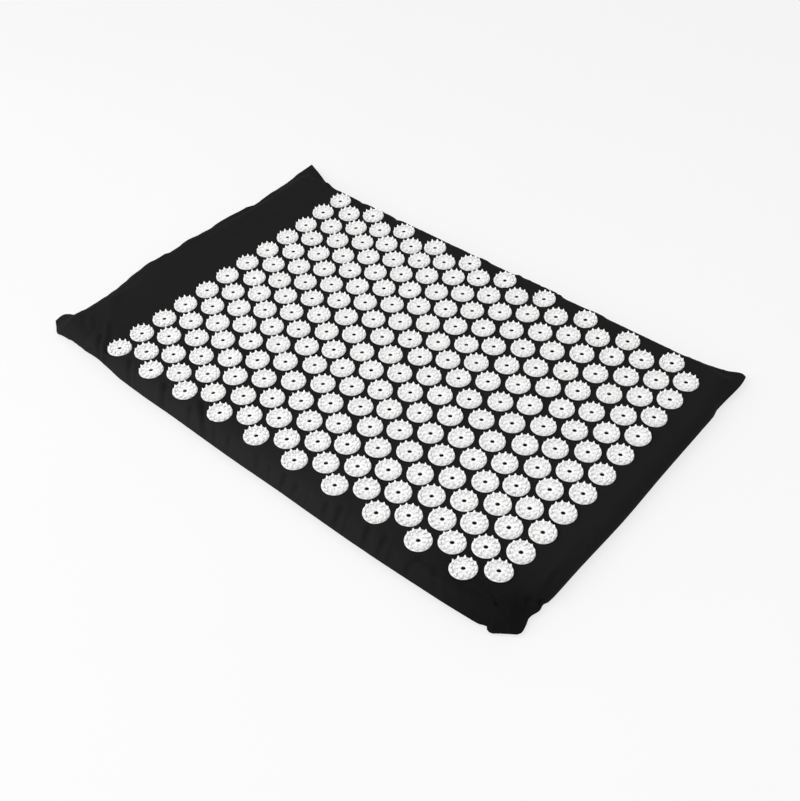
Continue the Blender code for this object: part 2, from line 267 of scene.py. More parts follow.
# Folds of the top panel, as the cloth's pull leaves them: path in plan, width, and
# height, above zero for a ridge and under it for a furrow
FOLDS = (
    # across the front left ear
    (((-0.302, -0.117), (-0.292, -0.128), (-0.279, -0.142), (-0.269, -0.155),
      (-0.253, -0.169), (-0.239, -0.185), (-0.228, -0.195)), 0.0026, 0.0018),
    (((-0.3, -0.12), (-0.287, -0.134), (-0.276, -0.147)), 0.0026, 0.0008),
    (((-0.259, -0.171), (-0.238, -0.193)), 0.0028, -0.0018),
    (((-0.287, -0.144), (-0.259, -0.175)), 0.005, -0.0014),
    (((-0.246, -0.167), (-0.227, -0.189)), 0.0028, -0.001),
    (((-0.298, -0.159), (-0.279, -0.173)), 0.003, 0.0009),
    (((-0.304, -0.163), (-0.291, -0.172)), 0.003, -0.0009),
    # puckers along the front
    (((-0.197, -0.181), (-0.176, -0.203)), 0.0026, -0.002),
    (((-0.191, -0.18), (-0.171, -0.2)), 0.0026, 0.0012),
    (((-0.139, -0.181), (-0.121, -0.203)), 0.0026, -0.0018),
    (((-0.146, -0.184), (-0.132, -0.2)), 0.003, 0.0007),
    (((-0.091, -0.188), (-0.083, -0.202)), 0.0024, -0.0013),
    (((-0.088, -0.176), (-0.07, -0.191), (-0.054, -0.203)), 0.0026, -0.0021),
    (((-0.092, -0.18), (-0.065, -0.202)), 0.0026, 0.0008),
    (((-0.052, -0.193), (-0.042, -0.204)), 0.0024, -0.0014),
    (((-0.03, -0.191), (-0.025, -0.204)), 0.0024, -0.0014),
    (((-0.015, -0.195), (-0.008, -0.203)), 0.0022, -0.0008),
    (((0.01, -0.19), (0.018, -0.203)), 0.0026, -0.0013),
    (((0.029, -0.193), (0.035, -0.204)), 0.0024, -0.0012),
    (((0.049, -0.192), (0.051, -0.205)), 0.0028, -0.0018),
    (((0.066, -0.194), (0.066, -0.205)), 0.0028, -0.0018),
    (((0.082, -0.196), (0.085, -0.204)), 0.0024, -0.0011),
    (((0.104, -0.192), (0.109, -0.205)), 0.003, -0.0017),
    (((0.119, -0.188), (0.123, -0.205)), 0.003, -0.0021),
    (((0.125, -0.186), (0.131, -0.203)), 0.0026, 0.001),
    (((0.155, -0.19), (0.159, -0.205)), 0.0032, -0.0022),
    (((0.174, -0.187), (0.177, -0.204)), 0.0032, -0.0018),
    (((0.18, -0.187), (0.184, -0.203)), 0.0026, 0.001),
    (((0.214, -0.188), (0.208, -0.197), (0.21, -0.205)), 0.0032, -0.0024),
    (((0.233, -0.19), (0.245, -0.204)), 0.0035, -0.0012),
    (((0.25, -0.194), (0.262, -0.203)), 0.0035, -0.0012),
    (((0.267, -0.193), (0.278, -0.202)), 0.0035, -0.0012),
    # front right corner, with a fuller shoulder before it
    (((0.212, -0.194), (0.25, -0.1935), (0.285, -0.1915)), 0.006, 0.0012),
    (((0.235, -0.189), (0.262, -0.186), (0.284, -0.178)), 0.007, -0.001),
    (((0.284, -0.199), (0.297, -0.197), (0.311, -0.193)), 0.0036, -0.0032),
    (((0.291, -0.186), (0.302, -0.188)), 0.004, 0.0012),
    (((0.309, -0.198), (0.321, -0.187)), 0.0028, -0.0016),
    (((0.312, -0.157), (0.3145, -0.169), (0.317, -0.179)), 0.0036, -0.0028),
    (((0.3155, -0.144), (0.3135, -0.131), (0.3105, -0.119), (0.3165, -0.106)), 0.0028, 0.0018),
    (((0.3185, -0.151), (0.317, -0.138), (0.3155, -0.124)), 0.0034, -0.002),
    (((0.316, -0.098), (0.3165, -0.076)), 0.004, -0.001),
    (((0.306, -0.163), (0.322, -0.147)), 0.0045, -0.0022),
    (((0.308, -0.17), (0.321, -0.16)), 0.005, -0.002),
    # along the sewn end
    (((-0.308, -0.046), (-0.309, -0.028)), 0.0035, -0.0012),
    (((-0.309, -0.085), (-0.308, -0.066)), 0.0035, -0.0012),
    (((-0.309, 0.045), (-0.308, 0.064)), 0.0035, -0.0012),
    (((-0.307, 0.074), (-0.305, 0.122)), 0.0035, -0.0015),
    (((-0.311, -0.176), (-0.312, -0.168)), 0.005, 0.0012),
    (((-0.306, 0.135), (-0.308, 0.205)), 0.004, -0.0012),
    # swells and a dip along the rear
    (((0.045, 0.197), (0.098, 0.197)), 0.007, 0.0016),
    (((0.06, 0.192), (0.068, 0.192)), 0.008, 0.0008),
    (((0.145, 0.194), (0.153, 0.194)), 0.008, 0.0009),
    (((0.268, 0.194), (0.284, 0.194)), 0.009, 0.0014),
    (((-0.275, 0.193), (-0.259, 0.193)), 0.008, 0.003),
    (((-0.009, 0.193), (-0.003, 0.193)), 0.006, 0.0009),
    (((-0.203, 0.19), (-0.198, 0.198)), 0.004, -0.0007),
    (((-0.144, 0.19), (-0.142, 0.198)), 0.004, -0.0009),
)

# Cloth simulation: discs hold the cloth within a reach that fades out, and the cloth is
# larger than its first shape by a share
HELD_REACH = 0.015
HELD_FADE = 0.003
HELD_LEVELS = 4
POINTS_AT_ONCE = 4000
FREE_MARGIN = 0.022
FREE_FADE = 0.012
END_FIRMNESS = 2.4
CORNER_FIRMNESS = 0.65
HEM_REACH = 0.045
HEM_HALF_LENGTH = 0.158
SLACK_SHARE = 0.024
SETTLE_FRAMES = 18
BLOCKER_SKIN = 0.0005
BLOCKER_FRICTION = 8
CLOTH_SETTINGS = {
    "quality": 6,
    "mass": 0.03,
    "air_damping": 3,
    "tension_stiffness": 25,
    "compression_stiffness": 25,
    "shear_stiffness": 8,
    "bending_stiffness": 0.6,
    "vertex_group_mass": "held",
    "shrink_min": -SLACK_SHARE,
}
COLLISION_QUALITY = 3
FARTHEST_MOVE = 0.003
LEAST_MOVE = CLOTH / 100
EASE_PASSES = 2
EAR_HEIGHT = 0.0034

# Width of the threads, how far the weave runs on up the mat's sides, and how much smoother
# a tape is in places
COTTON_THREAD = 0.00045
TAPE_THREAD = 0.0007
WEAVE_CLIMB = 0.7
TAPE_SMOOTHER = 0.1

# Colours of the looks, by their place on a ramp
RAMP_MIDDLE = 0.5
COTTON_SHADES = (
    (0.0, (0.004, 0.004, 0.004)), (0.5, (0.01, 0.01, 0.01)),
    (1.0, (0.0165, 0.0165, 0.0165)))
DISC_SHADES = (
    (0.15, (0.85, 0.85, 0.845)), (0.6, (0.87, 0.87, 0.865)), (1.0, (0.89, 0.89, 0.885)))
FOAM_SHADES = ((0.2, (0.5, 0.53, 0.56)), (0.7, (0.76, 0.78, 0.8)))
TAPE_SHADES = ((0.3, (0.006, 0.006, 0.006)), (0.75, (0.022, 0.022, 0.022)))
FLOOR_SHADES = ((0.3, (0.198, 0.198, 0.198)), (0.7, (0.202, 0.202, 0.202)))

# The cotton's usual place on its ramp, and its spots of painted light, which are paler, and of painted
# shade, which is darker: centre, reach, change
COTTON_LEVEL = 0.3
PAINTED_LIGHT_AND_SHADE = (
    # painted light: paler along the front roll
    ((-0.09, -0.205), (0.24, 0.026), 0.42),
    # painted light: paler at the front left ear
    ((-0.335, -0.18), (0.025, 0.03), 0.2),
    # painted shade: darker at the front right corner
    ((0.3, -0.19), (0.08, 0.05), -0.38),
)

# Floor and lights
FLOOR_HALF = 30.0
FLOOR_DROP = 0.0004
WORLD_STRENGTH = 0.75
Lamp = namedtuple("Lamp", "name place size power")
LAMPS = (
    Lamp("key", (-0.8, -1.6, 1.5), 2.3, 46.0),
    Lamp("fill", (1.5, 0.3, 1.5), 1.6, 6.0),
)


# Curves

def smooth_path(points, count=CURVE_STEPS):
    """A dense smooth curve through the points."""
    dense = []
    padded = [points[0]] + list(points) + [points[-1]]
    for a, b, c, d in zip(padded, padded[1:], padded[2:], padded[3:]):
        for step in range(count):
            t = step / count
            dense.append(
                b + (c - a) * (t / 2) + (a - b * 2.5 + c * 2 - d * 0.5) * t ** 2
                + (b * 1.5 - a * 0.5 - c * 1.5 + d * 0.5) * t ** 3)
    dense.append(points[-1])
    return dense


class Route:
    """A curve that gives its point at any length along it."""

    def __init__(self, points):
        self.points = np.array([list(point) for point in smooth_path(points)])
        steps = np.linalg.norm(np.diff(self.points, axis=0), axis=1)
        self.lengths = np.concatenate(([0], np.cumsum(steps)))
        self.total = float(self.lengths[-1])

    def at(self, length):
        return Vector([
            float(np.interp(length, self.lengths, self.points[:, axis])) for axis in range(3)])


def bezier(a, b, c, d, t):
    rest = 1 - t
    return a * rest ** 3 + b * (3 * rest ** 2 * t) + c * (3 * rest * t ** 2) + d * t ** 3


# The cover's four sides

def side_route(side, points, first, last):
    """Seam of one side, from its lower to its higher corner along the side."""
    axis, sign = side
    wall = HALF_WIDTH if axis == 1 else HALF_LENGTH
    route = [first.copy()]
    for along, out, height in points:
        place = [0, 0, height]
        place[axis] = sign * (wall + out)
        place[1 - axis] = along
        route.append(Vector(place))
    route.append(last.copy())
    return Route(route)


FRONT, REAR, LEFT, RIGHT = (1, -1), (1, 1), (0, -1), (0, 1)


def cover_routes(hem):
    """Routes of the four sides; the end that opens follows the hem or the flap."""
    return {
        FRONT: side_route(FRONT, FRONT_SEAM, TIPS["front_left"], TIPS["front_right"]),
        REAR: side_route(REAR, REAR_SEAM, TIPS["rear_left"], TIPS["rear_right"]),
        LEFT: side_route(LEFT, LEFT_SEAM, TIPS["front_left"], TIPS["rear_left"]),
        RIGHT: side_route(RIGHT, hem, TIPS["front_right"], TIPS["rear_right"]),
    }


class Panel:
    """One cloth panel of the cover: a grid with a flat middle, bands and corners."""

    def __init__(self, hem, roll, upper):
        self.routes = cover_routes(hem)
        self.upper = upper
        self.flat = Vector((HALF_LENGTH - roll, HALF_WIDTH - roll, TOP if upper else 0))
        self.roll = roll
        coarser = 1 if upper else 2
        self.columns = stops(self.flat.x, self.flat.x, coarser)
        self.rows = stops(self.flat.y, MARGIN, coarser)
        self.lift = SEAM_HALF_GAP if upper else -SEAM_HALF_GAP

    def seam(self, side, share, past=0.0):
        """Seam point opposite a share of the flat side, or past it, into an ear."""
        axis, _ = side
        route = self.routes[side]
        half = self.flat[1 - axis]
        ends = [max(abs(route.points[end][1 - axis]) - half, LEAST_EAR) for end in (0, -1)]
        if past < 0:
            length = ends[0] * (1 + past)
        elif past > 0:
            length = route.total - ends[1] * (1 - past)
        else:
            length = ends[0] + share * (route.total - ends[0] - ends[1])
        point = route.at(length)
        point.z += self.lift
        return point

    def band(self, side, share, t):
        """Point on the roll from the flat middle to the seam."""
        axis, sign = side
        half = self.flat[1 - axis]
        start = Vector((0, 0, self.flat.z))
        start[axis] = sign * self.flat[axis]
        start[1 - axis] = -half + 2 * half * share
        end = self.seam(side, share)
        wall = HALF_WIDTH if axis == 1 else HALF_LENGTH
        out = sign * end[axis] - wall
        ear = max(out, 0)
        along = end[1 - axis] - start[1 - axis]
        first, second = start.copy(), end.copy()
        tucked = min(1, max(0, -out) / TUCK)
        if self.upper:
            hem = min(1, max(0, (HEM_TOP - end.z) / HEM_FADE)) if side == RIGHT else 0
            reach = HANDLE_REACH * (self.roll + HANDLE_EAR * ear)
            first[axis] += sign * (reach + HEM_PUSH * hem)
            belly = BELLY * (1 - tucked) + HEM_BELLY * hem
            second[axis] = sign * (wall + belly + min(out, 0) + BELLY_EAR * ear)
            second.z = end.z + (BELLY_HEIGHT + HEM_HEIGHT * hem) * (self.flat.z - end.z)
        else:
            reach = UNDER_REACH - UNDER_TUCKED * tucked
            first[axis] += sign * reach * (self.roll + HANDLE_EAR * ear)
            second[axis] = sign * (wall + min(out, 0) + UNDER_EAR * ear)
            second.z = UNDER_HEIGHT * end.z
            second = second.lerp(start.lerp(end, UNDER_STRAIGHT), tucked)
        first[1 - axis] += HANDLE_ALONG[0] * along
        second[1 - axis] = start[1 - axis] + HANDLE_ALONG[1] * along
        return bezier(start, first, second, end, t)

    def corner(self, long_side, short_side, s, t):
        """Point in a corner: s runs out over the short side, t over the long side."""
        past_x, past_y = short_side[1], long_side[1]
        share_x, share_y = max(past_x, 0), max(past_y, 0)
        long_end = self.seam(long_side, share_x)
        short_end = self.seam(short_side, share_y)
        across = self.band(short_side, share_y, s)
        up = self.band(long_side, share_x, t)
        along_long = self.seam(long_side, share_x, past_x * s) if s > 0 else long_end
        along_short = self.seam(short_side, share_y, past_y * t) if t > 0 else short_end
        tip = self.seam(long_side, share_x, past_x)
        inner = Vector((past_x * self.flat.x, past_y * self.flat.y, self.flat.z))
        return (
            across * (1 - t) + along_long * t + up * (1 - s) + along_short * s
            - inner * ((1 - s) * (1 - t)) - short_end * (s * (1 - t))
            - long_end * ((1 - s) * t) - tip * (s * t))

    def place(self, column, row):
        """Point of the grid at a column and a row, bands included."""
        s, share_x, past_x = self.split(column, self.columns)
        t, share_y, past_y = self.split(row, self.rows)
        if s == 0 and t == 0:
            return Vector((
                (2 * share_x - 1) * self.flat.x, (2 * share_y - 1) * self.flat.y, self.flat.z))
        if t == 0:
            return self.band((0, past_x), share_y, s)
        if s == 0:
            return self.band((1, past_y), share_x, t)
        return self.corner((1, past_y), (0, past_x), s, t)

    @staticmethod
    def split(number, shares):
        """Share of the way over a band, share along the flat middle, and which end."""
        last = len(shares) - 1
        if number < BAND_ROWS:
            return 1 - number / BAND_ROWS, 0, -1
        if number > BAND_ROWS + last:
            return (number - BAND_ROWS - last) / BAND_ROWS, 1, 1
        return 0, shares[number - BAND_ROWS], 0

    def grid(self):
        """The panel's points, and how freely each may move: not at all at the seam."""
        across = len(self.columns) + 2 * BAND_ROWS
        along = len(self.rows) + 2 * BAND_ROWS
        points = np.empty((across, along, 3))
        for column in range(across):
            for row in range(along):
                points[column, row] = self.place(column, row)
        out_x = np.array([self.split(column, self.columns)[0] for column in range(across)])
        out_y = np.array([self.split(row, self.rows)[0] for row in range(along)])
        return points, (1 - out_x[:, None] ** SEAM_HOLD) * (1 - out_y[None] ** SEAM_HOLD)


def stops(half, margin, coarser):
    """Shares along the flat middle, closer together in the margins at its ends."""
    places = []
    for start, end, cell in (
            (-half, margin - half, FINE_CELL), (margin - half, half - margin, COARSE_CELL),
            (half - margin, half, FINE_CELL)):
        count = round((end - start) / cell / coarser)
        places += [start + (end - start) * step / count for step in range(count)]
    return [(place + half) / (2 * half) for place in places + [half]]


# Sags and folds

def smooth_step(value):
    value = np.clip(value, 0, 1)
    return value * value * (3 - 2 * value)


def sag_share(x, y):
    """Share of its height that the mat loses at a place."""
    points = smooth_path([Vector(pair) for pair in LEFT_SAG], SAG_STEPS)
    course = np.array([point[:] for point in points])
    left = np.interp(y, course[:, 0], course[:, 1])
    share = left * (1 - smooth_step((x + HALF_LENGTH) / LEFT_SAG_REACH))
    away = np.hypot(x - CORNER_SAG.x, y - CORNER_SAG.y)
    fading = 1 - smooth_step((away - CORNER_SAG.near) / (CORNER_SAG.far - CORNER_SAG.near))
    return np.maximum(share, CORNER_SAG.share * fading)


def sag(points, freedom):
    """Lower points by the share that the mat sags at their place."""
    above = np.maximum(points[..., 2] - SAG_FLOOR, 0)
    points[..., 2] -= above * sag_share(points[..., 0], points[..., 1]) * freedom


def fold_height(x, y, widening):
    """Height of all folds together at each place in plan."""
    total = np.zeros(x.shape)
    for path, width, height in FOLDS:
        away = np.full(x.shape, np.inf)
        for start, end in zip(path, path[1:]):
            run = (end[0] - start[0], end[1] - start[1])
            share = ((x - start[0]) * run[0] + (y - start[1]) * run[1]) / (run[0] ** 2 + run[1] ** 2)
            share = np.clip(share, 0, 1)
            gap = np.hypot(x - start[0] - share * run[0], y - start[1] - share * run[1])
            away = np.minimum(away, gap)
        total += height * np.exp(-(away / width / widening) ** 2)
    return total


def crease(points, freedom, depth, widening):
    """Raise and lower the cloth by its folds, square to its surface."""
    normals = np.cross(np.gradient(points, axis=0), np.gradient(points, axis=1))
    normals /= np.linalg.norm(normals, axis=2, keepdims=True)
    height = fold_height(points[..., 0], points[..., 1], widening) * freedom * depth
    points += normals * height[..., None]


def grid_object(name, points, flip, look):
    """Mesh object over a grid of points."""
    across, along, _ = points.shape
    number = np.arange(across * along).reshape(across, along)
    corners = (number[:-1, :-1], number[1:, :-1], number[1:, 1:], number[:-1, 1:])
    faces = np.stack([corner.ravel() for corner in corners], axis=1)
    if flip:
        faces = faces[:, ::-1]
    return mesh_object(name, points.reshape(-1, 3).tolist(), faces.tolist(), look)


def mesh_object(name, verts, faces, look):
    """Linked object with a new mesh and its material."""
    mesh = bpy.data.meshes.new(name)
    mesh.from_pydata(verts, [], faces)
    mesh.update()
    mesh.materials.append(look)
    return link(bpy.data.objects.new(name, mesh))


def link(made):
    bpy.context.scene.collection.objects.link(made)
    return made


def thicken(piece):
    """Give a sheet its thickness, inwards, and smooth shading."""
    solid = piece.modifiers.new("thickness", "SOLIDIFY")
    solid.thickness = CLOTH
    solid.offset = -1
    solid.use_even_offset = False
    apply_modifiers(piece)
    piece.data.shade_smooth()


def apply_modifiers(piece):
    depsgraph = bpy.context.evaluated_depsgraph_get()
    mesh = bpy.data.meshes.new_from_object(piece.evaluated_get(depsgraph))
    old = piece.data
    piece.modifiers.clear()
    piece.data = mesh
    mesh.name = old.name
    bpy.data.meshes.remove(old)


# Materials

class Look:
    """A material with its shader, and short calls for the nodes that feed it."""

    def __init__(self, name, **constants):
        self.material = bpy.data.materials.new(name)
        self.material.use_nodes = True
        self.tree = self.material.node_tree
        self.shader = self.tree.nodes["Principled BSDF"]
        self.shade(**constants)
        self.place = self.node("ShaderNodeTexCoord").outputs["Object"]

    def shade(self, **feeds):
        """Feed the shader, and give back its material."""
        self.connect(self.shader, feeds)
        return self.material

    def connect(self, node, feeds):
        """Feed a node's sockets, with a space for each underscore of their names."""
        for socket, value in feeds.items():
            self.feed(node.inputs[socket.replace("_", " ")], value)

    def result(self, kind, output, **feeds):
        """Output of a new node that is fed by its sockets' names."""
        made = self.node(kind)
        self.connect(made, feeds)
        return made.outputs[output]

    def node(self, kind, **settings):
        made = self.tree.nodes.new(kind)
        for name, value in settings.items():
            setattr(made, name, value)
        return made

    def feed(self, socket, value):
        if isinstance(value, (int, float, tuple)):
            socket.default_value = value
        else:
            self.tree.links.new(value, socket)

    def math(self, operation, first, second=0.0):
        made = self.node("ShaderNodeMath", operation=operation)
        self.feed(made.inputs[0], first)
        self.feed(made.inputs[1], second)
        return made.outputs[0]

    def blend(self, first, first_share, second, second_share):
        """Sum of two values, each times its share."""
        return self.math(
            "ADD", self.math("MULTIPLY", first, first_share),
            self.math("MULTIPLY", second, second_share))

    def noise(self, scale, detail, roughness=0.5):
        return self.result(
            "ShaderNodeTexNoise", "Fac",
            Vector=self.place, Scale=scale, Detail=detail, Roughness=roughness)

    def ramp(self, factor, shades):
        made = self.node("ShaderNodeValToRGB")
        self.feed(made.inputs["Fac"], factor)
        elements = made.color_ramp.elements
        while len(elements) < len(shades):
            elements.new(RAMP_MIDDLE)
        for element, (position, colour) in zip(elements, shades):
            element.position = position
            element.color = (*colour, 1)
        return made.outputs["Color"]

    def spread(self, factor, low, high):
        """Map a 0 to 1 value onto a range."""
        return self.result(
            "ShaderNodeMapRange", "Result", Value=factor, To_Min=low, To_Max=high)

    def axes(self):
        made = self.node("ShaderNodeSeparateXYZ")
        self.feed(made.inputs[0], self.place)
        return made.outputs

    def bump(self, height, strength, distance, under=None):
        normal = {} if under is None else {"Normal": under}
        return self.result(
            "ShaderNodeBump", "Normal",
            Strength=strength, Distance=distance, Height=height, **normal)


def weave(look, thread):
    """Height of a plain weave whose threads are so wide, on any face of the mat."""
    x, y, z = look.axes()
    turn = math.pi / thread
    climb = look.math("MULTIPLY", z, WEAVE_CLIMB)
    warp = look.math("ADD", x, climb)
    weft = look.math("SUBTRACT", y, climb)
    over = look.math("SINE", look.math("MULTIPLY", warp, turn))
    under = look.math("SINE", look.math("MULTIPLY", weft, turn))
    return look.math("MULTIPLY", over, under)


def painted_spot_nearness(look, centre, reach):
    """Nearness to a spot where light or shade is painted on the mat: 1 at its centre, and fading out by
    its reach.
    """
    squares = []
    for place, middle, width in zip(look.axes(), centre, reach):
        away = look.math("DIVIDE", look.math("SUBTRACT", place, middle), width)
        squares.append(look.math("MULTIPLY", away, away))
    return look.math("POWER", math.e, look.math("MULTIPLY", look.math("ADD", *squares), -1.0))


def cotton_look(name):
    """Black plain weave, with painted light along the front and at the front left ear, and painted
    shade at the near corner.
    """
    look = Look(name, Specular_IOR_Level=0.04)
    threads = weave(look, COTTON_THREAD)
    patches = look.noise(scale=14.0, detail=4.0, roughness=0.6)
    fibres = look.noise(scale=900.0, detail=2.0, roughness=0.7)
    mixed = look.math("ADD", look.blend(patches, 0.3, fibres, 0.1), COTTON_LEVEL)
    # Paint light along the front and at the front left ear, and shade at the near corner, into the
    # cloth's colour
    for centre, reach, change in PAINTED_LIGHT_AND_SHADE:
        painted_tone = look.math("MULTIPLY", painted_spot_nearness(look, centre, reach), change)
        mixed = look.math("ADD", mixed, painted_tone)
    fuzz = look.bump(fibres, strength=0.25, distance=0.0002)
    return look.shade(
        Base_Color=look.ramp(mixed, COTTON_SHADES),
        Roughness=look.spread(fibres, low=0.82, high=0.98),
        Normal=look.bump(threads, strength=0.35, distance=0.00012, under=fuzz))


def plastic_look():
    look = Look(
        "disc_plastic", Specular_IOR_Level=0.40, Subsurface_Weight=0.9, Subsurface_Scale=0.003,
        Subsurface_Radius=(1.0, 1.0, 1.0))
    # The plastic is darker towards the plate and paler towards the spike tips
    climb = look.result(
        "ShaderNodeMapRange", "Result", Value=look.axes()[2],
        From_Min=TOP, From_Max=TOP + PLATE_TOP + SPIKE_RINGS[-1].height)
    flow = look.noise(scale=160.0, detail=3.0, roughness=0.55)
    mixed = look.blend(climb, 0.6, flow, 0.4)
    grain = look.noise(scale=2200.0, detail=2.0, roughness=0.6)
    return look.shade(
        Base_Color=look.ramp(mixed, DISC_SHADES),
        Roughness=look.spread(flow, low=0.34, high=0.52),
        Normal=look.bump(grain, strength=0.12, distance=0.0001))


def foam_look():
    look = Look("pad_foam", Roughness=0.95, Specular_IOR_Level=0.1)
    pores = look.result("ShaderNodeTexVoronoi", "Distance", Vector=look.place, Scale=900.0)
    stain = look.noise(scale=12.0, detail=4.0, roughness=0.6)
    mixed = look.blend(pores, 0.6, stain, 0.4)
    return look.shade(
        Base_Color=look.ramp(mixed, FOAM_SHADES),
        Normal=look.bump(pores, strength=0.6, distance=0.0005))


def tape_look(name, scale, roughness):
    look = Look(name, Specular_IOR_Level=0.3, Sheen_Weight=0.1)
    threads = weave(look, TAPE_THREAD)
    pile = look.noise(scale=scale, detail=3.0, roughness=0.7)
    rough = look.bump(pile, strength=0.8, distance=0.0004)
    return look.shade(
        Base_Color=look.ramp(pile, TAPE_SHADES),
        Roughness=look.spread(pile, low=roughness - TAPE_SMOOTHER, high=roughness),
        Normal=look.bump(threads, strength=0.4, distance=0.0002, under=rough))


def floor_look():
    look = Look(
        "studio_floor", Roughness=0.9, Specular_IOR_Level=0.0, Emission_Strength=0.70,
        Emission_Color=(1, 1, 1, 1))
    patches = look.noise(scale=3.0, detail=2.0)
    return look.shade(Base_Color=look.ramp(patches, FLOOR_SHADES))


# Discs

def tube_faces(rings, segments):
    """Quads between rings of as many points."""
    faces = []
    for ring in range(rings - 1):
        low = ring * segments
        for step in range(segments):
            following = (step + 1) % segments
            faces.append((
                low + step, low + following, low + segments + following, low + segments + step))
    return faces


def plate_shape():
    """The disc's plate: a turned ring round its centre hole."""
    angles = np.arange(DISC_SEGMENTS) * (2 * math.pi / DISC_SEGMENTS)
    rings = [
        np.stack((
            radius * np.cos(angles), radius * np.sin(angles), np.full(DISC_SEGMENTS, height)), axis=1)
        for radius, height in PLATE_PROFILE]
    faces = tube_faces(len(rings), DISC_SEGMENTS)
    last = (len(rings) - 1) * DISC_SEGMENTS
    for step in range(DISC_SEGMENTS):
        following = (step + 1) % DISC_SEGMENTS
        faces.append((last + step, last + following, following, step))
    return np.concatenate(rings), [face[::-1] for face in faces]


def spike_shape(ring):
    """One spike of a ring, on the X axis: an oval cone with a blunt tip."""
    angles = np.arange(SPIKE_SIDES) * (2 * math.pi / SPIKE_SIDES)
    rings = []
    for width_share, height_share in SPIKE_SHARES:
        centre = ring.radius - ring.draw_in * width_share
        height = PLATE_TOP - SPIKE_SINK + height_share * (ring.height + SPIKE_SINK)
        rings.append(np.stack((
            centre + ring.depth * width_share * np.cos(angles),
            ring.width * width_share * np.sin(angles),
            np.full(SPIKE_SIDES, height)), axis=1))
    faces = tube_faces(len(rings), SPIKE_SIDES)
    last = (len(rings) - 1) * SPIKE_SIDES
    tip = len(rings) * SPIKE_SIDES
    for step in range(SPIKE_SIDES):
        faces.append((last + step, last + (step + 1) % SPIKE_SIDES, tip))
    faces.append(tuple(range(SPIKE_SIDES))[::-1])
    rings.append(np.array([(ring.radius, 0, PLATE_TOP + ring.height)]))
    return np.concatenate(rings), faces


def disc_shape():
    """Vertices and faces of one disc, with its foot at height zero."""
    verts, faces = plate_shape()
    parts, count = [verts], len(verts)
    for ring in SPIKE_RINGS:
        spike, spike_faces = spike_shape(ring)
        for step in range(ring.count):
            turn = np.array(Matrix.Rotation(ring.turn + 2 * math.pi * step / ring.count, 3, "Z"))
            parts.append(spike @ turn.T)
            faces += [tuple(index + count for index in face) for face in spike_faces]
            count += len(spike)
    return np.concatenate(parts), faces


def nearness(x, y, centre, reach):
    """1 at the centre, and fading out by the reach."""
    return math.exp(-((x - centre[0]) ** 2 + (y - centre[1]) ** 2) / reach ** 2)


def pulled(x, y):
    """A disc's place once the cloth has been pulled askew."""
    shift_x = shift_y = 0.0
    for centre, reach, shift in PULLS:
        near = nearness(x, y, centre, reach)
        shift_x += shift[0] * near
        shift_y += shift[1] * near
    return x + shift_x, y + shift_y


def leaning(x, y):
    """Which way a disc's face leans: angles along the mat and across it."""
    along = 0.0
    across = float(np.interp(y, *zip(*LEAN_ACROSS)))
    for centre, reach, lean in HITCHES:
        near = nearness(x, y, centre, reach)
        along += lean[0] * near
        across += lean[1] * near
    return along, across


def disc_places():
    """Centres of the discs, one list for each column."""
    places = []
    for column in range(COLUMNS):
        discs = DISCS_IN_COLUMN - column % 2
        x = FIELD_SHIFT + (column - (COLUMNS - 1) / 2) * COLUMN_PITCH
        places.append([pulled(x, (row - (discs - 1) / 2) * ROW_PITCH) for row in range(discs)])
    return places


def make_discs(columns, look):
    """One piece for each column of discs, each disc at its own turn and tilt."""
    shape, faces = disc_shape()
    chance = random.Random(DISC_SEED)
    pieces = []
    for number, column in enumerate(columns):
        verts, all_faces = [], []
        for x, y in column:
            along, across = leaning(x, y)
            spin = Matrix.Rotation(chance.uniform(0, 2 * math.pi), 3, "Z")
            tilt = Euler((chance.gauss(-across, DISC_TILT), chance.gauss(along, DISC_TILT), 0))
            turn = np.array(tilt.to_matrix() @ spin)
            wander = (chance.gauss(0, DISC_WANDER), chance.gauss(0, DISC_WANDER))
            place = np.array((x + wander[0], y + wander[1], TOP - DISC_SINK))
            first = sum(len(part) for part in verts)
            verts.append(shape @ turn.T + place)
            all_faces += [tuple(index + first for index in face) for face in faces]
        name = f"disc_column_{number + 1:02d}"
        piece = mesh_object(name, np.concatenate(verts).tolist(), all_faces, look)
        piece.data.shade_smooth()
        piece.data.set_sharp_from_angle(angle=SHARP_EDGE)
        pieces.append(piece)
    return pieces


# Pad and tapes

def pad_outline():
    """Points round the pad in plan, each with its outward direction."""
    corners = []
    for sign_x, sign_y, start in ((1, 1, 0), (-1, 1, 90), (-1, -1, 180), (1, -1, 270)):
        centre = Vector((sign_x * (FOAM_HIGH.x - PAD_CORNER), sign_y * (FOAM_HIGH.y - PAD_CORNER)))
        for step in range(PAD_CORNER_STEPS + 1):
            angle = math.radians(start + 90 * step / PAD_CORNER_STEPS)
            outward = Vector((math.cos(angle), math.sin(angle)))
            corners.append((centre + outward * PAD_CORNER, outward))
    outline = []
    for (spot, out), (other, other_out) in zip(corners, corners[1:] + corners[:1]):
        pieces = max(1, round((other - spot).length / PAD_STEP))
        for step in range(pieces):
            share = step / pieces
            outline.append((spot.lerp(other, share), out.lerp(other_out, share).normalized()))
    return outline


def pad_ring(outline, inset, height):
    """One ring of the pad: the outline drawn in, then scaled towards the middle."""
    inner = max(0, inset - PAD_DRAWN_IN) / (FOAM_HIGH.y - PAD_DRAWN_IN)
    upward = 1 if height > FOAM_HIGH.z / 2 else -1
    ring = []
    for spot, out in outline:
        point = (spot - out * min(inset, PAD_DRAWN_IN)) * (1 - inner)
        rough = noise.noise(Vector((*point, height)) * PAD_GRAIN) * PAD_ROUGHNESS
        ring.append((*point, height - upward * abs(rough)))
    return ring


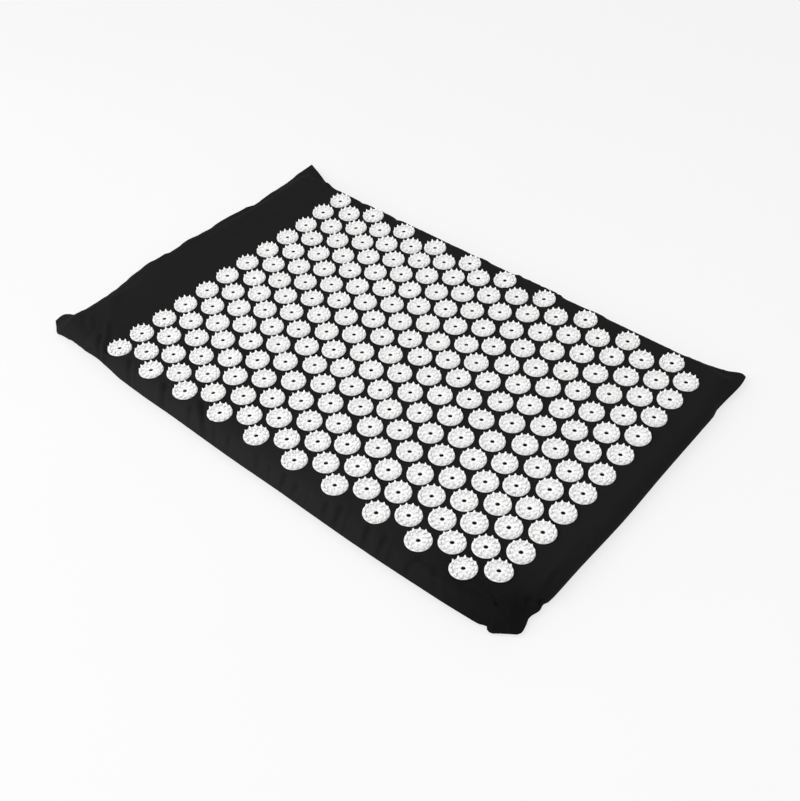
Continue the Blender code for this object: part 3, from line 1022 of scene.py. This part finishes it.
def make_foam(look):
    """Foam pad: rounded in plan, rolled at its edges, pressed in by the cover."""
    outline = pad_outline()
    section = pad_section()
    count = len(outline)
    verts = np.array([point for inset, height in section for point in pad_ring(outline, inset, height)])
    squeeze_front(verts)
    sag(verts, PAD_SAG)
    dent(verts)
    faces = tube_faces(len(section), count)
    under, over = len(verts), len(verts) + 1
    last = len(verts) - count
    for step in range(count):
        following = (step + 1) % count
        faces.append((following, step, under))
        faces.append((last + step, last + following, over))
    middles = [(0, 0, FOAM_LOW.z), (0, 0, FOAM_HIGH.z)]
    pad = mesh_object("foam_core", verts.tolist() + middles, faces, look)
    pad.data.shade_smooth()
    return pad


def squeeze_front(verts):
    """Push the pad's front edge back where the cover's seam runs inside it."""
    along, out, _ = zip(*FRONT_SEAM)
    short = np.maximum(PAD_ROOM - np.interp(verts[:, 0], along, out), 0)
    near = smooth_step((-verts[:, 1] - SQUEEZE_START) / (FOAM_HIGH.y - SQUEEZE_START))
    verts[:, 1] += short * near


def dent(verts):
    """Press the pad in under the cover's furrows, towards its core."""
    core = np.column_stack((
        np.clip(verts[:, 0], -HALF_LENGTH + PAD_CORE, HALF_LENGTH - PAD_CORE),
        np.clip(verts[:, 1], -HALF_WIDTH + PAD_CORE, HALF_WIDTH - PAD_CORE),
        np.minimum(verts[:, 2], SAG_FLOOR)))
    away = verts - core
    away /= np.maximum(np.linalg.norm(away, axis=1, keepdims=True), CLOTH)
    depth = np.minimum(fold_height(verts[:, 0], verts[:, 1], DENT_WIDTH) * FOLD_DEPTH * DENT_SHARE, 0)
    verts += away * depth[:, None]


def pad_section():
    """Inset and height of each ring of the pad, from the middle below to that above."""
    low, high = FOAM_LOW.z, FOAM_HIGH.z
    middle = FOAM_HIGH.y - PAD_CORE
    under = np.linspace(middle, PAD_CORE, PAD_RINGS)
    over = np.concatenate((
        np.arange(PAD_CORE, PAD_RIM, PAD_RIM_STEP), np.linspace(PAD_RIM, middle, PAD_RINGS)))
    section = [(float(inset), low) for inset in under]
    turns = np.linspace(0, math.pi / 2, PAD_EDGE_STEPS)
    section += [
        (PAD_ROUND * (1 - math.sin(turn)), low + PAD_ROUND / 2 * (1 - math.cos(turn)))
        for turn in turns]
    section += [
        (PAD_ROUND * (1 - math.cos(turn)), high - PAD_ROUND * (1 - math.sin(turn)))
        for turn in turns]
    section += [(float(inset), high) for inset in over]
    return section


def long_edges(bm, length):
    """Edges that run along a tape for more than a length."""
    return [edge for edge in bm.edges if abs(edge.verts[0].co.y - edge.verts[1].co.y) > length]


def make_tape(name, low, high, look):
    """A strip of tape with rounded edges, standing in the opening."""
    bm = bmesh.new()
    bmesh.ops.create_cube(bm, size=1)
    size = high - low
    bmesh.ops.scale(bm, vec=size, verts=bm.verts)
    bmesh.ops.translate(bm, vec=(low + high) / 2, verts=bm.verts)
    bmesh.ops.bevel(
        bm, geom=long_edges(bm, size.y / 2), offset=TAPE_ROUND, segments=TAPE_ROUND_STEPS,
        affect="EDGES")
    bmesh.ops.subdivide_edges(
        bm, edges=long_edges(bm, size.y / 2), cuts=TAPE_CUTS, use_grid_fill=True)
    for vert in bm.verts:
        vert.co.x += TAPE_WAVE * noise.noise(vert.co * TAPE_WAVE_SCALE)
    mesh = bpy.data.meshes.new(name)
    bm.to_mesh(mesh)
    bm.free()
    mesh.shade_smooth()
    mesh.set_sharp_from_angle(angle=SHARP_EDGE)
    mesh.materials.append(look)
    return link(bpy.data.objects.new(name, mesh))


# Cover

def make_panel(name, hem, roll, upper, look):
    panel = Panel(hem, roll, upper)
    points, freedom = panel.grid()
    if upper:
        sag(points, freedom)
        crease(points, freedom, FOLD_DEPTH, 1.0)
    roughen(points, GRAIN_DEPTH, GRAIN_SCALE)
    if not upper:
        points[..., 2] = np.maximum(points[..., 2], 0)
    piece = grid_object(name, points, not upper, look)
    return piece, points, freedom


def roughen(points, depth, scale):
    """Move each point up or down a little by smooth noise."""
    flat = points.reshape(-1, 3)
    for point in flat:
        point[2] += depth * noise.noise(Vector(point) * scale)


def held_weights(points, columns):
    """How firmly each point of the top panel is held: by discs, seam and hem."""
    centres = np.array([centre for column in columns for centre in column])
    flat = points.reshape(-1, 3)
    weights = np.zeros(len(flat))
    for start in range(0, len(flat), POINTS_AT_ONCE):
        chunk = slice(start, start + POINTS_AT_ONCE)
        part = flat[chunk, None, :2] - centres[None]
        nearest = np.sqrt((part ** 2).sum(axis=2)).min(axis=1)
        weights[chunk] = np.clip((HELD_REACH - nearest) / HELD_FADE, 0, 1)
    weights = weights.reshape(points.shape[:2])
    x, y = points[..., 0], points[..., 1]
    ends, sides = HALF_LENGTH - np.abs(x), HALF_WIDTH - np.abs(y)
    inside = np.minimum(sides, ends * END_FIRMNESS)
    inside = np.minimum(inside, np.hypot(ends, sides) * CORNER_FIRMNESS)
    weights = np.maximum(weights, np.clip((inside - FREE_MARGIN) / FREE_FADE, 0, 1))
    weights[0, :] = weights[-1, :] = weights[:, 0] = weights[:, -1] = 1
    firm = np.clip((x - HALF_LENGTH + HEM_REACH) / FREE_FADE, 0, 1)
    firm *= np.clip((HEM_HALF_LENGTH - np.abs(y)) / FREE_FADE, 0, 1)
    weights = np.maximum(weights, firm)
    return weights.ravel()


def simulate(piece, weights, blocker):
    """Let the cloth, a little larger than its shape, settle over the pad."""
    group = piece.vertex_groups.new(name="held")
    for level in range(1, HELD_LEVELS + 1):
        share = level / HELD_LEVELS
        members = np.flatnonzero(np.round(weights * HELD_LEVELS) == level)
        group.add(members.tolist(), share, "REPLACE")
    blocker.modifiers.new("blocker", "COLLISION")
    blocker.collision.thickness_outer = BLOCKER_SKIN
    blocker.collision.cloth_friction = BLOCKER_FRICTION
    cloth = piece.modifiers.new("cloth", "CLOTH")
    for setting, value in CLOTH_SETTINGS.items():
        setattr(cloth.settings, setting, value)
    cloth.collision_settings.use_collision = True
    cloth.collision_settings.collision_quality = COLLISION_QUALITY
    cloth.collision_settings.distance_min = BLOCKER_SKIN
    cloth.point_cache.frame_end = SETTLE_FRAMES
    for number in range(1, SETTLE_FRAMES + 1):
        bpy.context.scene.frame_set(number)
    apply_modifiers(piece)
    blocker.modifiers.clear()
    piece.vertex_groups.clear()
    bpy.context.scene.frame_set(1)


def read_points(piece, shape):
    points = np.empty(len(piece.data.vertices) * 3)
    piece.data.vertices.foreach_get("co", points)
    return points.reshape(shape)


def write_points(piece, points):
    piece.data.vertices.foreach_set("co", points.ravel())
    piece.data.update()


def ease(piece, before):
    """Cap how far each point has moved, keep the ears up, then smooth the inner points."""
    moved = read_points(piece, before.shape)
    step = moved - before
    length = np.linalg.norm(step, axis=2, keepdims=True)
    moved = before + step * np.minimum(1, FARTHEST_MOVE / np.maximum(length, LEAST_MOVE))
    moved[..., 2] = np.maximum(moved[..., 2], np.minimum(before[..., 2], EAR_HEIGHT))
    for _ in range(EASE_PASSES):
        around = (moved[:-2, 1:-1] + moved[2:, 1:-1] + moved[1:-1, :-2] + moved[1:-1, 2:]) / 4
        moved[1:-1, 1:-1] += (around - moved[1:-1, 1:-1]) / 2
    write_points(piece, moved)


def sharpen(piece, freedom):
    """Deepen the folds' middles and wrinkle the settled cloth a little."""
    points = read_points(piece, (*freedom.shape, 3))
    crease(points, freedom, CREASE_DEPTH, CREASE_WIDTH)
    roughen(points, WRINKLE_DEPTH, WRINKLE_SCALE)
    write_points(piece, points)


# Stage

def make_stage():
    corners = [
        (x * FLOOR_HALF, y * FLOOR_HALF, -FLOOR_DROP)
        for x, y in ((-1, -1), (1, -1), (1, 1), (-1, 1))]
    floor = mesh_object("studio_floor", corners, [(0, 1, 2, 3)], floor_look())


def add_light(lamp):
    """A round lamp that faces the frame's origin."""
    light = bpy.data.lights.new(lamp.name, "AREA")
    light.shape = "DISK"
    light.size = lamp.size
    light.energy = lamp.power
    made = link(bpy.data.objects.new(lamp.name, light))
    made.location = lamp.place
    made.rotation_euler = (-Vector(lamp.place)).to_track_quat("-Z", "Y").to_euler()


def make_lights():
    world = bpy.data.worlds.new("studio")
    bpy.context.scene.world = world
    world.use_nodes = True
    background = world.node_tree.nodes["Background"]
    background.inputs["Color"].default_value = (1, 1, 1, 1)
    background.inputs["Strength"].default_value = WORLD_STRENGTH
    for lamp in LAMPS:
        add_light(lamp)


def make_camera():
    data = bpy.data.cameras.new("camera")
    data.lens = CAMERA_LENS
    data.sensor_width = CAMERA_SENSOR
    data.clip_start = CAMERA_CLIP
    camera = link(bpy.data.objects.new("camera", data))
    camera.location = CAMERA_PLACE
    level = (CAMERA_AIM - CAMERA_PLACE).to_track_quat("-Z", "Y").to_matrix()
    camera.rotation_euler = (level @ Matrix.Rotation(CAMERA_ROLL, 3, "Z")).to_euler()
    bpy.context.scene.camera = camera


def main():
    bpy.context.scene.view_settings.view_transform = "Standard"
    make_camera()
    make_lights()
    make_stage()
    columns = disc_places()
    cotton = cotton_look("cover_cotton")
    under_cotton = cotton_look("underside_cotton")
    foam = make_foam(foam_look())
    top, shape, freedom = make_panel("cover_top", RIGHT_HEM, ROLL, True, cotton)
    simulate(top, held_weights(shape, columns), foam)
    ease(top, shape)
    sharpen(top, freedom)
    thicken(top)
    bottom, _, _ = make_panel("cover_bottom", RIGHT_FLAP, BOTTOM_ROLL, False, under_cotton)
    thicken(bottom)
    discs = make_discs(columns, plastic_look())
    hooks = make_tape("hook_strip", HOOK_LOW, HOOK_HIGH, tape_look("hook_nylon", 1600.0, 0.6))
    loops = make_tape("loop_strip", LOOP_LOW, LOOP_HIGH, tape_look("loop_nylon", 700.0, 0.95))
    for piece, node, slot in (
        (top, "top_panel", "spiked_cotton"),
        (bottom, "bottom_panel", "cotton"),
        (foam, "foam_pad", "foam"),
        (hooks, "hook_tape", "tape"),
        (loops, "loop_tape", "tape"),
        *((column, "top_panel", "disc") for column in discs),
    ):
        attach(piece, "root")
        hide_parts(node)


main()
